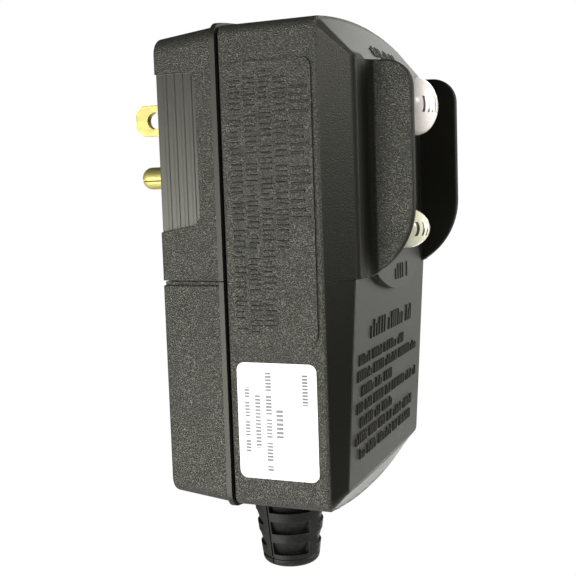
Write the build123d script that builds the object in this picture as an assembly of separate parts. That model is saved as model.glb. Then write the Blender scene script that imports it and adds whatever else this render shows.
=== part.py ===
from build123d import *
import math
import os

# Plug with a built-in earth leakage trip, two guarded buttons and a bottom cord entry.
# Frame: origin on the back face, midway between the two flat blades.
# +Y points into the wall outlet, +Z up, +X to the right of someone facing the buttons.
# "Depth" is measured from the back face towards the buttons, so depth = -Y.

# Case, outside
case_width = 56.2
corner_height = 14.1          # top corners above the blade line
corner_drop = 74.0            # bottom corners below the blade line
top_rise = 2.2                # crown of the arched top
bottom_sag = 2.45              # belly of the arched bottom
corner_radius = 2.2
plate_corner_radius = 1.0
seam_depth = 13.3             # where the two halves meet
seam_groove = 0.4
seam_lip = 1.1
side_depth = 32.2             # where the straight side ends
front_rise = 6.3              # upper front plate beyond the straight side
front_depth = side_depth + front_rise
front_slope = 3.5             # each side slopes in this far
front_width = case_width - 2 * front_slope
slope_foot_height = 7.2       # front plate's top edge
split_drop = 31.8             # step across the front, and foot of the rear housing
step_depth = 0.9
lower_front_rise = 2.9        # front plate's bottom edge beyond the straight side
lower_front_depth = side_depth + lower_front_rise
lower_front_drop = 71.0
plate_edge_radius = 0.7
step_edge_radius = 0.3
seam_edge_radius = 0.3
edge_tolerance = 0.05
wall = 2.1

# Case, rear half
flange_thickness = 1.0
flange_proud = 0.5            # the seam flange stands out from both halves
rear_taper = 0.45
rear_taper_z = 1.3
rear_corner_radius = 3.2
rear_edge_radius = 0.8
rear_wall = 2.5
back_wall = 2.4
cover_gap = 1.0               # slot between the rear housing and the wiring cover
cover_lip_inset = 0.5
cover_lip_play = 0.2

# Raised panel on each side
panel_near = 14.4
panel_far = 31.4
panel_top = 7.3
panel_drop = 43.0
panel_corner = 1.8
panel_proud = 0.35

# Finger grips moulded into the rear half's sides
grip_depth = 8.7
grip_top = 6.6
grip_drop = 22.9
grip_sink = 1.2
grip_slant = 1.5              # its lower edge rises this much inwards
grip_corner = 2.4
grip_rib_count = 4
grip_rib_width = 0.7
grip_rib_proud = 0.08

# Guard wings beside the buttons
wing_gap = 34.0
wing_thickness = 2.0
wing_reach = 8.4              # beyond the front plate
wing_depth = front_depth + wing_reach
wing_top_drop = 0.4           # the top edge falls this much towards the front
wing_corner = 5.0
wing_sweep = 15.0             # radius of the lower sweep
wing_sweep_start = 18.4       # below the blade line
wing_root_fillet = 2.4
wing_rim = 0.5

# Raised channel floor between the wings
pad_proud = 0.5
pad_arc_drop = 35.7
pad_arc_side_drop = 31.2

# Buttons
reset_radius = 5.65
reset_proud = 8.5             # crown of the dome beyond the front plate
reset_depth = front_depth + reset_proud
reset_shoulder = 3.9          # radius where the dome leaves the straight part
reset_travel = 3.0
test_radius = 3.9
test_proud = 6.5
test_depth = front_depth + test_proud
test_shoulder = 4.8
test_drop = 23.85
test_travel = 2.0
button_play = 0.2
button_dome = 4.5             # height of both domes
button_flange = 0.9           # how far the retaining flange stands out
button_flange_thickness = 1.1
button_flange_play = 0.2
stem_radius = 2.0
stem_play = 0.2
stem_reach_play = 0.3         # left between a pressed stem and its leaf

# Indicator light pipe
lens_drop = 12.3
lens_radius = 1.6
lens_flange = 1.2
lens_proud = 0.15
lens_play = 0.1

# Blades and pin, to the outlet standard
blade_pitch = 12.7
blade_height = 6.35
blade_thickness = 1.5
blade_length = 16.2
blade_tip_chamfer = 1.6
blade_hole_radius = 1.75
blade_hole_from_tip = 4.45
pin_drop = 11.89
pin_radius = 2.415
pin_length = 19.0
pin_tip = 2.2
pin_root_radius = 2.8         # inside the housing
pin_slit = 0.3
pin_slit_depth = 1.0
pin_slit_turn = 15.0          # degrees below the pin's side
blade_fit = 0.05
block_near_margin = 4.0       # blade block around the slots
block_depth = 9.0
shoulder_height = 8.6
shoulder_thickness = 1.6
tail_height = 3.0
tail_past_board = 1.4

# Circuit board
board_depth = 15.0
board_thickness = 1.6
board_side_gap = 2.5
board_width = case_width - 2 * (wall + board_side_gap)
board_top = 9.6
board_foot_gap = 17.2         # the board's lower edge below the step
board_drop = split_drop + board_foot_gap
board_hole_play = 0.15

# Screws that close the case
boss_inset = 7.1
boss_pitch = case_width - 2 * boss_inset
boss_top = 6.6
boss_rise = 5.8               # lower screws above the step
boss_drop = split_drop - boss_rise
boss_radius = 3.2
rear_boss_radius = 4.2
screw_radius = 1.45
screw_head_radius = 2.9
screw_head_height = 2.0
screw_head_depth = 2.6        # head's outer face below the back face
screw_length = 22.0
cover_screw_length = 20.4
clamp_screw_length = 11.0
screw_slot_width = 0.8
screw_slot_depth = 0.9
pilot_play = 0.05
shank_play = 0.25
head_play = 0.4
cover_boss_rise = 8.0          # above the bottom corners
cover_boss_drop = corner_drop - cover_boss_rise
boss_end_gap = 1.7
boss_end_depth = side_depth - boss_end_gap

# Terminals
terminal_block_width = 40.0
terminal_block_gap = 5.7      # below the step
terminal_block_height = 10.5
terminal_block_top = split_drop + terminal_block_gap
terminal_block_drop = terminal_block_top + terminal_block_height
terminal_block_depth = 6.5
terminal_floor_depth = 12.0
terminal_wall = 1.4
terminal_plate_thickness = 0.9
terminal_plate_margin = 0.8
terminal_screw_radius = 1.7
terminal_head_radius = 3.2
terminal_head_height = 2.2
terminal_screw_bite = 1.8
screw_end_play = 0.05
terminal_leg_width = 3.0
strap_width = 5.0
strap_thickness = 0.6
strap_depth = 13.5
washer_thickness = 0.8
washer_width = 7.4

# Cord clamp and grommet
cord_radius = 4.2
cord_depth = 13.2
clamp_gap = 10.0              # below the terminal block
clamp_drop = terminal_block_drop + clamp_gap
clamp_pitch = 19.0
clamp_pillar_radius = 3.1
clamp_pillar_depth = 9.0
clamp_thickness = 2.6
clamp_height = 6.4
clamp_ridge = 1.0
saddle_thickness = 2.4
grommet_neck_radius = 6.0
grommet_hole_play = 0.1
grommet_collar_radius = 7.4
grommet_collar_height = 2.4
grommet_collar_play = 0.1
grommet_root_radius = 8.3
grommet_tip_radius = 5.95
grommet_end_drop = 94.95
grommet_rim = 1.7             # plain band at the free end
rim_corner = 1.4
rim_groove = 0.3
rim_groove_height = 0.5
grommet_turn = 22.0           # degrees, as it sits in the case
window_count = 3
window_pitch = 4.7
window_spread = 72.0          # degrees
window_height = 2.7
window_drop = 82.7            # lower edge of the topmost window
window_sink = 0.35            # at its upper edge
window_ramp = 0.95            # deeper by this at its lower edge
side_window_lead = 1.45       # side windows sit this much higher
side_window_sink = 0.1
side_window_ramp = 0.5
slit_width = 0.35
slit_sink = 0.8
slit_turn = 40.0

# Frame that carries the button springs
frame_depth = 26.0
frame_thickness = 1.5
frame_width = 10.0
frame_top = 6.5
frame_drop = 31.5
frame_leg = 1.2
reset_spring_radius = 3.3
reset_spring_wire = 0.55
reset_spring_turns = 5
test_spring_radius = 2.7
test_spring_wire = 0.45
test_spring_turns = 5
spring_seat_play = 0.05
leaf_depth = 20.2
leaf_thickness = 0.3
leaf_width = 3.4
leaf_length = 9.5
leaf_lead = 3.0               # the leaf runs on past the stem's axis
stud_radius = 1.2
stud_height = 0.7

# Relay
relay_x = -12.7
relay_drop = 6.0
yoke_width = 10.6
yoke_thickness = 1.2
yoke_height = 13.9
yoke_reach = 8.5              # coil axis to the yoke's upright
core_radius = 2.5
pole_radius = 3.4
pole_thickness = 0.8
pole_gap = 1.2
bobbin_radius = 5.2
bobbin_wall = 0.6
bobbin_flange = 1.0
bobbin_play = 0.1
coil_radius = 4.9
armature_width = 9.6
armature_thickness = 1.2
armature_play = 0.2
armature_tail = 4.4
armature_reach = 6.0          # past the coil axis
carrier_height = 4.0
carrier_width = 11.0
carrier_top = 2.0
contact_spacing = 6.4
contact_spring_width = 2.6
contact_spring_thickness = 0.3
contact_spring_length = 15.0
contact_radius = 1.4
contact_thickness = 0.8
contact_from_end = 1.7
contact_rest_gap = 2.9
fixed_strip_thickness = 0.6
fixed_strip_reach = 3.9
spring_tab_depth = 20.8
spring_tab_thickness = 0.8
spring_tab_width = 3.6
armature_spring_radius = 1.4
armature_spring_wire = 0.35
armature_spring_turns = 7

# Earth leakage sensor
sensor_side_gap = 3.3
sensor_drop = 10.0
sensor_radius = 8.2
sensor_x = case_width / 2 - wall - sensor_side_gap - sensor_radius
sensor_bore = 3.4
sensor_height = 11.0
sensor_wall = 0.9
ring_core_inner = 5.0
ring_core_outer = 6.5
ring_core_height = 3.2
ring_core_count = 2
winding_thickness = 0.55
winding_arc = 320.0
winding_gap = 0.4
conductor_radius = 0.8
conductor_spacing = 2.8
conductor_bend = 1.6
conductor_clearance = 1.2

# Small parts on the board
lamp_radius = 1.5
lamp_base_radius = 1.9
lamp_base_height = 1.0
lamp_height = 5.4
chip_length = 9.6
chip_width = 6.4
chip_height = 3.3
chip_standoff = 0.5
chip_leg_width = 0.5
chip_leg_pitch = 2.54
chip_leg_count = 4
varistor_radius = 5.2
varistor_thickness = 4.0
varistor_edge = 0.8
film_length = 13.0
film_width = 5.6
film_height = 10.0
can_radius = 3.8
can_height = 9.0
can_edge = 0.3
axial_lead = 0.3
axial_lead_reach = 1.6
axial_bend = 0.7
axial_standoff = 0.2
resistor_radius = 1.1
resistor_length = 6.0
diode_radius = 1.35
diode_length = 4.8
thyristor_radius = 2.4
thyristor_height = 4.6
thyristor_flat = 1.3
part_standoff = 1.2
chip_place = (11.5, 20.0)     # places on the board: X, and up from its lower edge
varistor_place = (-16.0, 15.7)
film_place = (-3.0, 7.5)
can_place = (-15.0, 5.4)
thyristor_place = (20.0, 14.0)
resistor_places = [(3.0, 15.4), (12.5, 2.4), (2.0, 2.2)]
diode_places = [(12.5, 9.2), (12.5, 5.8)]

# Side label
label_near = 15.1
label_far = 30.8
label_top = 46.8
label_drop = 68.5
label_corner = 1.5
label_thickness = 0.12

overrun = 1.0                 # how far cutting tools run past what they cut
quarter_turn = 90.0
wire_sides = 6                # flats that stand in for a round wire


# Shared shapes. A front view is drawn with X to the right and Z up.
def slab(face, near, far):
    return extrude(Plane.XZ.offset(near) * face, amount=far - near)


def bar(x, z, radius, near, far):
    return slab(Pos(x, z) * Circle(radius), near, far)


def block(x, z, width, height, near, far):
    return slab(Pos(x, z) * Rectangle(width, height), near, far)


def span(x0, x1, z0, z1, near, far):
    return block((x0 + x1) / 2, (z0 + z1) / 2, x1 - x0, z1 - z0, near, far)


def case_outline(inset, radius):
    half = case_width / 2 - inset
    top = corner_height - inset
    bottom = -corner_drop + inset
    lines = [
        ThreePointArc((-half, top), (0, top + top_rise), (half, top)),
        Line((half, top), (half, bottom)),
        ThreePointArc((half, bottom), (0, bottom - bottom_sag), (-half, bottom)),
        Line((-half, bottom), (-half, top)),
    ]
    face = make_face(lines)
    return fillet(face.vertices(), radius)


def save(node, shape):
    shape.label = node
    export_step(shape, os.path.join("parts", node + ".step"))


# Front half: a straight-sided ring, and two tapered caps that meet at the step.
def upper_cap(inset, near):
    half = case_width / 2 - inset
    top = corner_height - inset
    foot = -split_drop - inset
    plate_half = front_width / 2 - inset / 2
    plate_top = slope_foot_height - inset / 4
    base = make_face([
        Line((-half, foot), (half, foot)),
        Line((half, foot), (half, top)),
        ThreePointArc((half, top), (0, top + top_rise), (-half, top)),
        Line((-half, top), (-half, foot)),
    ])
    base = fillet([v for v in base.vertices() if v.Y > 0], corner_radius)
    face = make_face(Polyline((-plate_half, foot), (plate_half, foot), (plate_half, plate_top),
                              (-plate_half, plate_top), close=True))
    face = fillet([v for v in face.vertices() if v.Y > 0], plate_corner_radius)
    return loft([Plane.XZ.offset(near) * base, Plane.XZ.offset(front_depth - inset) * face], ruled=True)


def lower_cap(inset, near):
    half = case_width / 2 - inset
    bottom = -corner_drop + inset
    head = -split_drop
    plate_half = front_width / 2 - inset / 2
    base = make_face([
        Line((half, head), (-half, head)),
        Line((-half, head), (-half, bottom)),
        ThreePointArc((-half, bottom), (0, bottom - bottom_sag), (half, bottom)),
        Line((half, bottom), (half, head)),
    ])
    base = fillet([v for v in base.vertices() if v.Y < head], corner_radius)
    slope_rise = step_slope_rise()
    length = math.hypot(lower_front_drop - split_drop, slope_rise) - inset / 2
    plate = Plane(origin=(0, -(front_depth - step_depth - inset), head), x_dir=(1, 0, 0),
                  z_dir=(0, -(lower_front_drop - split_drop), -slope_rise))
    face = make_face(Polyline((plate_half, 0), (-plate_half, 0), (-plate_half, -length),
                              (plate_half, -length), close=True))
    face = fillet([v for v in face.vertices() if v.Y < 0], plate_corner_radius)
    return loft([Plane.XZ.offset(near) * base, plate * face], ruled=True)


def step_slope_rise():
    return front_depth - step_depth - lower_front_depth


def front_form(inset, start):
    shoulder = side_depth - inset / 2
    ring = slab(case_outline(inset, corner_radius), start, shoulder)
    caps = upper_cap(inset, shoulder) + lower_cap(inset, shoulder)
    return ring + caps


# The edges that the mould rounds: the plates' borders, the step and the seam.
def lies_at(edge, depth):
    return all(abs((edge @ share).Y + depth) < edge_tolerance for share in (0, 0.5, 1))


def on_upper_plate(edge):
    return lies_at(edge, front_depth) and edge.center().Z > step_depth - split_drop


def on_lower_plate(edge):
    middle = edge.center()
    forward = middle.Y < edge_tolerance - lower_front_depth
    within = abs(middle.X) < front_width / 2 + edge_tolerance
    return forward and within and middle.Z < -split_drop - step_depth


def on_step(edge):
    return lies_at(edge, front_depth) and abs(edge.center().Z + split_drop) < edge_tolerance


def soften(form):
    plates = [e for e in form.edges() if on_upper_plate(e) or on_lower_plate(e)]
    form = fillet(plates, plate_edge_radius)
    form = fillet([e for e in form.edges() if on_step(e)], step_edge_radius)
    seam = [e for e in form.edges() if lies_at(e, seam_depth + seam_groove)]
    return fillet(seam, seam_edge_radius)


def wing_profile():
    root = -(front_depth - wall)
    front = -wing_depth
    centre = (front + wing_sweep, -wing_sweep_start)
    reach = centre[0] + front_depth
    end = (-front_depth, centre[1] - math.sqrt(wing_sweep ** 2 - reach ** 2))
    half_turn = math.acos(-reach / wing_sweep) / 2
    mid = (centre[0] - wing_sweep * math.cos(half_turn), centre[1] - wing_sweep * math.sin(half_turn))
    corner = (front, slope_foot_height - wing_top_drop)
    outline = make_face([
        Line((root, slope_foot_height), corner),
        Line(corner, (front, -wing_sweep_start)),
        ThreePointArc((front, -wing_sweep_start), mid, end),
        Line(end, (root, end[1])),
        Line((root, end[1]), (root, slope_foot_height)),
    ])
    nose = outline.vertices().sort_by_distance(Vector(corner[0], corner[1], 0))[0]
    return fillet(nose, wing_corner)


def wing(side):
    inner = wing_gap / 2 if side > 0 else -wing_gap / 2 - wing_thickness
    plate = extrude(Plane.YZ.offset(inner) * wing_profile(), amount=wing_thickness)
    rim = plate.faces().filter_by(Axis.X).edges()
    outside = [e for e in rim if e.center().Y < -front_depth - wing_rim]
    plate = fillet(outside, wing_rim)
    return plate + wing_root(side)


# The hollow rounding where a wing grows out of the front plate.
def wing_root(side):
    outer = side * (wing_gap / 2 + wing_thickness)
    far = outer + side * wing_root_fillet
    inset = outer - side * wing_thickness / 2
    deep = -front_depth + wall / 2
    crest = -front_depth - wing_root_fillet
    slant = wing_root_fillet * math.sqrt(0.5)
    mid = (far - side * slant, crest + slant)
    section = make_face([
        ThreePointArc((outer, crest), mid, (far, -front_depth)),
        Line((far, -front_depth), (far, deep)),
        Line((far, deep), (inset, deep)),
        Line((inset, deep), (inset, crest)),
        Line((inset, crest), (outer, crest)),
    ])
    bead = extrude(Plane.XY.offset(-split_drop) * section, amount=split_drop + slope_foot_height)
    shape = extrude(Plane.YZ.offset(-case_width / 2) * wing_profile(), amount=case_width)
    return bead & shape


def channel_pad():
    half = wing_gap / 2
    top = slope_foot_height - pad_proud
    side = -pad_arc_side_drop
    pad = make_face([
        Line((-half, top), (half, top)),
        Line((half, top), (half, side)),
        ThreePointArc((half, side), (0, -pad_arc_drop), (-half, side)),
        Line((-half, side), (-half, top)),
    ])
    return slab(pad, front_depth - wall, front_depth + pad_proud)


def side_panels():
    half = case_width / 2
    panel = Rectangle(panel_far - panel_near, panel_top + panel_drop)
    panel = fillet(panel.vertices(), panel_corner)
    panel = Pos(-(panel_near + panel_far) / 2, (panel_top - panel_drop) / 2) * panel
    left = extrude(Plane.YZ.offset(-half - panel_proud) * panel, amount=panel_proud + wall / 2)
    return left + mirror(left, about=Plane.YZ)


def case_screw_places():
    return [(side * boss_pitch / 2, z) for side in (-1, 1) for z in (boss_top, -boss_drop)]


def cover_screw_places():
    return [(side * boss_pitch / 2, -cover_boss_drop) for side in (-1, 1)]


def clamp_places():
    return [(side * clamp_pitch / 2, -clamp_drop) for side in (-1, 1)]


def front_posts():
    foot = board_depth + board_thickness
    posts = [bar(x, z, boss_radius, foot, front_depth) for x, z in case_screw_places()]
    posts += [bar(x, z, boss_radius, seam_depth, front_depth) for x, z in cover_screw_places()]
    posts += [bar(x, z, clamp_pillar_radius, seam_depth, front_depth) for x, z in clamp_places()]
    saddle_near = cord_depth + cord_radius / 2
    posts += [block(0, -clamp_drop, clamp_pitch, saddle_thickness, saddle_near, front_depth)]
    return posts


def cord_trough():
    trough = Pos(0, -cord_depth) * Circle(cord_radius)
    return extrude(Plane.XY.offset(-clamp_drop - saddle_thickness) * trough, amount=2 * saddle_thickness)


def front_housing():
    outer = soften(front_form(0, seam_depth + seam_groove))
    inner = front_form(wall, seam_depth - seam_lip)
    lip = case_outline(wall / 2, corner_radius - wall / 2)
    tongue = slab(lip, seam_depth, seam_depth + seam_groove + overrun)
    body = outer + tongue + side_panels() + channel_pad() - inner
    for side in (-1, 1):
        body += wing(side)
    limit = front_form(wall / 2, seam_depth)
    for post in front_posts():
        body += post & limit
    for x, z in clamp_places():
        body += bar(x, z, clamp_pillar_radius, clamp_pillar_depth, front_depth / 2)
    pilot = screw_radius + pilot_play
    for x, z in case_screw_places() + cover_screw_places():
        body -= bar(x, z, pilot, seam_depth - overrun, boss_end_depth)
    for x, z in clamp_places():
        body -= bar(x, z, pilot, 0, boss_end_depth)
    body -= cord_trough()
    under = front_depth - wall - overrun
    body -= bar(0, 0, reset_radius + button_play, under, reset_depth)
    body -= bar(0, -test_drop, test_radius + button_play, under, test_depth)
    body -= bar(0, -lens_drop, lens_radius + lens_play, under, test_depth)
    body -= cord_hole()
    return body


def cord_hole():
    height = bottom_sag + wall + 2 * overrun
    hole = Pos(0, -cord_depth) * Circle(grommet_neck_radius + grommet_hole_play)
    return extrude(Plane.XY.offset(-corner_drop - bottom_sag - overrun) * hole, amount=height + overrun)


# Rear half, drawn whole and then parted into the blade housing and the wiring cover.
def rear_outline(inset, squeeze, radius):
    half = case_width / 2 - inset - squeeze * rear_taper
    top = corner_height - inset - squeeze * rear_taper_z
    bottom = -corner_drop + inset + squeeze * rear_taper_z
    face = make_face([
        ThreePointArc((-half, top), (0, top + top_rise), (half, top)),
        Line((half, top), (half, bottom)),
        ThreePointArc((half, bottom), (0, bottom - bottom_sag), (-half, bottom)),
        Line((-half, bottom), (-half, top)),
    ])
    return fillet(face.vertices(), radius)


def rear_form(inset, back, flange):
    base = seam_depth - flange_thickness
    near = rear_outline(inset, 1, rear_corner_radius)
    far = rear_outline(inset, 0, rear_corner_radius)
    form = loft([Plane.XZ.offset(back) * near, Plane.XZ.offset(base) * far], ruled=True)
    if flange:
        return form + slab(case_outline(inset - flange_proud, rear_corner_radius), base, seam_depth)
    return form + slab(case_outline(inset, rear_corner_radius), base, seam_depth + overrun)


def rear_shell():
    outer = rear_form(0, 0, True)
    back_edges = outer.faces().sort_by(Axis.Y)[-1].edges()
    outer = fillet(back_edges, rear_edge_radius)
    return outer, rear_form(rear_wall, back_wall, False)


def grip(side):
    pocket = make_face(Polyline((overrun, grip_top), (-grip_depth, grip_top),
                                (-grip_depth, grip_slant - grip_drop), (overrun, -grip_drop), close=True))
    pocket = fillet([v for v in pocket.vertices() if v.X < 0], grip_corner)
    sunk = case_width / 2 - rear_taper - grip_sink
    cut = extrude(Plane.YZ.offset(sunk) * pocket, amount=case_width)
    gap = grip_depth / (grip_rib_count + 1)
    ribs = Rectangle(grip_rib_width, grip_top + grip_drop)
    for i in range(grip_rib_count):
        y = -(i + 1) * gap
        rib = extrude(
            Plane.YZ.offset(sunk) * Pos(y, (grip_top - grip_drop) / 2) * ribs, amount=grip_rib_proud)
        cut -= rib
    return cut if side > 0 else mirror(cut, about=Plane.YZ)


def rear_screw_tubes(places, end):
    return [bar(x, z, rear_boss_radius, back_wall / 2, end) for x, z in places]


def drill_rear(body, places, end):
    head_end = screw_head_depth + screw_head_height
    for x, z in places:
        body -= bar(x, z, screw_head_radius + head_play, -overrun, head_end)
        body -= bar(x, z, screw_radius + shank_play, -overrun, end + overrun)
    return body


def blade_places():
    return [-blade_pitch / 2, blade_pitch / 2]


def rear_housing():
    outer, inner = rear_shell()
    reach = case_width
    keep = span(-reach, reach, -split_drop, reach, -overrun, board_depth + overrun)
    floor = span(-reach, reach, -split_drop, -split_drop + wall, back_wall / 2, seam_depth)
    body = (outer - inner) + (floor & outer)
    half = blade_pitch / 2 + block_near_margin
    body += span(-half, half, -pin_drop - block_near_margin, blade_height, back_wall / 2, block_depth)
    limit = rear_form(wall / 2, 0, False)
    limit += slab(case_outline(wall, corner_radius), seam_depth / 2, board_depth)
    for tube in rear_screw_tubes(case_screw_places(), board_depth):
        body += tube & limit
    body = body & keep
    body = drill_rear(body, case_screw_places(), board_depth)
    slot_width = blade_thickness + 2 * blade_fit
    slot_height = blade_height + 2 * blade_fit
    for x in blade_places():
        body -= block(x, 0, slot_width, slot_height, -overrun, block_depth + overrun)
    body -= bar(0, -pin_drop, pin_root_radius + blade_fit, -overrun, block_depth + overrun)
    for side in (-1, 1):
        body -= grip(side)
    return body


# The cover's lip fills most of the slot below the rear housing, just inside the surface.
def wiring_cover():
    outer, inner = rear_shell()
    reach = 2 * case_width
    head = -split_drop - cover_gap
    crest = -split_drop - cover_lip_play
    base = seam_depth - flange_thickness
    keep = span(-reach, reach, -reach, head, -overrun, board_depth + overrun)
    keep += span(-reach, reach, head, crest, base, board_depth + overrun)
    roof = span(-reach, reach, head - wall, head, back_wall / 2, seam_depth)
    body = (outer - inner) + (roof & outer)
    limit = rear_form(wall / 2, 0, False)
    for tube in rear_screw_tubes(cover_screw_places(), seam_depth):
        body += tube & limit
    body = body & keep
    lip = span(-reach, reach, head - wall, crest, cover_lip_inset, seam_depth)
    body += lip & rear_form(cover_lip_inset, 0, False)
    body = drill_rear(body, cover_screw_places(), seam_depth)
    body -= cord_hole()
    return body - grommet_seat()


# The seam flange stops short of the grommet's shoulder.
def grommet_seat():
    sill = -corner_drop - bottom_sag - grommet_collar_play
    ring = Pos(0, -cord_depth) * Circle(grommet_root_radius + grommet_hole_play)
    return extrude(Plane.XY.offset(sill + grommet_hole_play - 2 * flange_proud) * ring,
                   amount=2 * flange_proud)


# Buttons, lens and what they bear on.
def from_centre(centre, reach, angle):
    return (centre[0] + reach * math.cos(angle), centre[1] + reach * math.sin(angle))


# Each dome is a shoulder arc that runs smoothly into a crown arc.
def dome_arcs(radius, rim, top, shoulder):
    rise = top - rim
    crown = (radius ** 2 + rise ** 2 - 2 * radius * shoulder) / (2 * (rise - shoulder))
    low = (radius - shoulder, rim)
    high = (0, top - crown)
    way = crown - shoulder
    angle = math.atan2((low[1] - high[1]) / way, (low[0] - high[0]) / way)
    join = from_centre(high, crown, angle)
    steep = math.radians(quarter_turn)
    return [
        ThreePointArc((radius, rim), from_centre(low, shoulder, angle / 2), join),
        ThreePointArc(join, from_centre(high, crown, (angle + steep) / 2), (0, top)),
    ]


def button_cap(radius, z, top, shoulder):
    foot = front_depth - wall - button_flange_play
    rim = top - button_dome
    profile = make_face([Line((0, foot), (radius, foot)), Line((radius, foot), (radius, rim))]
                        + dome_arcs(radius, rim, top, shoulder) + [Line((0, top), (0, foot))])
    upright = Plane(origin=(0, 0, z), x_dir=(1, 0, 0), z_dir=(0, 0, -1))
    return revolve(upright * profile, axis=Axis((0, 0, z), (0, -1, 0)))


def button(radius, z, top, shoulder, travel):
    cap = button_cap(radius, z, top, shoulder)
    flange_near = front_depth - wall - button_flange_play - button_flange_thickness
    flange = bar(0, z, radius + button_flange, flange_near, flange_near + button_flange_thickness)
    stem_end = leaf_depth + travel + stem_reach_play
    return cap + flange + bar(0, z, stem_radius, stem_end, flange_near)


def coil_spring(x, z, radius, wire, turns, near, far):
    low = near + wire / 2 + spring_seat_play
    height = far - near - wire - 2 * spring_seat_play
    path = Helix(pitch=height / turns, height=height, radius=radius)
    section = Plane(origin=path @ 0, z_dir=path % 0) * RegularPolygon(wire / 2, wire_sides)
    coil = sweep(section, path=path, is_frenet=True)
    return Plane(origin=(x, -low, z), z_dir=(0, -1, 0)) * coil


def flange_underside():
    return front_depth - wall - button_flange_play - button_flange_thickness


def switch_frame():
    foot = board_depth + board_thickness
    half = frame_width / 2
    top = span(-half, half, -frame_drop, frame_top, frame_depth, frame_depth + frame_thickness)
    legs = span(-half, half, frame_top - frame_leg, frame_top, foot, frame_depth)
    legs += span(-half, half, -frame_drop, -frame_drop + frame_leg, foot, frame_depth)
    body = top + legs
    for z in (0, -test_drop):
        body -= bar(0, z, stem_radius + stem_play, foot, frame_depth + frame_thickness + overrun)
    body -= bar(0, -lens_drop, lens_radius + stem_play, foot, frame_depth + frame_thickness + overrun)
    return body


def switch_leaf(z, way):
    foot = board_depth + board_thickness
    far = z + way * leaf_lead
    near = far - way * leaf_length
    strip = span(-leaf_width / 2, leaf_width / 2, min(near, far), max(near, far),
                 leaf_depth - leaf_thickness, leaf_depth)
    heel = near + way * leaf_thickness
    post = span(-leaf_width / 2, leaf_width / 2, min(near, heel), max(near, heel), foot, leaf_depth)
    return strip + post


def switch_studs():
    foot = board_depth + board_thickness
    return [bar(0, z, stud_radius, foot, foot + stud_height) for z in (0, -test_drop)]


def indicator_lens():
    inner = front_depth - wall
    lamp_top = board_depth + board_thickness + lamp_height
    pipe = bar(0, -lens_drop, lens_radius, lamp_top + lens_play, front_depth + pad_proud + lens_proud)
    flange_far = inner - lens_play
    return pipe + bar(0, -lens_drop, lens_radius + lens_flange, flange_far - lens_flange, flange_far)


def indicator_lamp():
    foot = board_depth + board_thickness
    base = bar(0, -lens_drop, lamp_base_radius, foot, foot + lamp_base_height)
    dome = bar(0, -lens_drop, lamp_radius, foot, foot + lamp_height)
    dome = fillet(dome.faces().sort_by(Axis.Y)[0].edges(), lamp_radius - lens_play)
    return base + dome


# Blades and pin
def blade(x):
    root = -block_depth
    inner = root - shoulder_thickness
    tail = -(board_depth + board_thickness + tail_past_board)
    half = blade_height / 2
    outline = make_face(Polyline(
        (tail, -tail_height / 2), (inner, -tail_height / 2), (inner, -shoulder_height / 2),
        (root, -shoulder_height / 2), (root, -half), (blade_length, -half), (blade_length, half),
        (root, half), (root, shoulder_height / 2), (inner, shoulder_height / 2),
        (inner, tail_height / 2), (tail, tail_height / 2), close=True))
    tips = [v for v in outline.vertices() if v.X > blade_length - blade_fit]
    outline = chamfer(tips, blade_tip_chamfer)
    outline -= Pos(blade_length - blade_hole_from_tip, 0) * Circle(blade_hole_radius)
    return extrude(Plane.YZ.offset(x - blade_thickness / 2) * outline, amount=blade_thickness)


def ground_pin():
    shaft = bar(0, -pin_drop, pin_radius, -pin_length, 0)
    shaft = fillet(shaft.faces().sort_by(Axis.Y)[-1].edges(), pin_tip)
    slit = span(-pin_radius - overrun, -pin_radius + pin_slit_depth, -pin_drop - pin_slit / 2,
                -pin_drop + pin_slit / 2, -pin_length - overrun, -blade_fit)
    shaft -= slit.rotate(Axis((0, 0, -pin_drop), (0, 1, 0)), -pin_slit_turn)
    shaft += bar(0, -pin_drop, pin_root_radius, 0, block_depth)
    collar = bar(0, -pin_drop, shoulder_height / 2, block_depth, block_depth + shoulder_thickness)
    tail = bar(0, -pin_drop, tail_height / 2, block_depth, strap_depth)
    return shaft + collar + tail


def ground_strap():
    top = -pin_drop + strap_width / 2
    foot = terminal_leg_height() + terminal_plate_thickness / 2
    return span(-strap_width / 2, strap_width / 2, foot, top, strap_depth, strap_depth + strap_thickness)


# Circuit board
def circuit_board():
    near = board_depth
    far = board_depth + board_thickness
    half = board_width / 2
    body = span(-half, half, -board_drop, board_top, near, far)
    for x, z in case_screw_places():
        body -= bar(x, z, screw_radius + shank_play, near - overrun, far + overrun)
    for x in blade_places():
        body -= block(x, 0, blade_thickness + 2 * board_hole_play, tail_height + 2 * board_hole_play,
                      near - overrun, far + overrun)
    for x in terminal_places():
        body -= block(x, terminal_leg_height(), terminal_leg_width + 2 * board_hole_play,
                      terminal_plate_thickness + 2 * board_hole_play, near - overrun, far + overrun)
    return body


def on_board(place):
    return place[0], place[1] - board_drop


# Terminals
def terminal_pitch():
    return (terminal_block_width - terminal_wall) / 3


def terminal_places():
    return [-terminal_pitch(), 0, terminal_pitch()]


def terminal_middle():
    return -(terminal_block_top + terminal_block_drop) / 2


def terminal_leg_height():
    return -terminal_block_top + terminal_plate_margin / 2 + terminal_plate_thickness / 2


def terminal_block():
    half = terminal_block_width / 2
    body = span(-half, half, -terminal_block_drop, -terminal_block_top, terminal_block_depth, board_depth)
    bay = (terminal_pitch() - terminal_wall) / 2
    sill = -terminal_block_drop - overrun
    head = -terminal_block_top + overrun
    for x in terminal_places():
        body -= span(x - bay, x + bay, sill, head, terminal_block_depth - overrun, terminal_floor_depth)
        body -= bar(x, terminal_middle(), terminal_screw_radius + pilot_play, terminal_floor_depth - overrun,
                    terminal_floor_depth + terminal_screw_bite)
    return body


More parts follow.
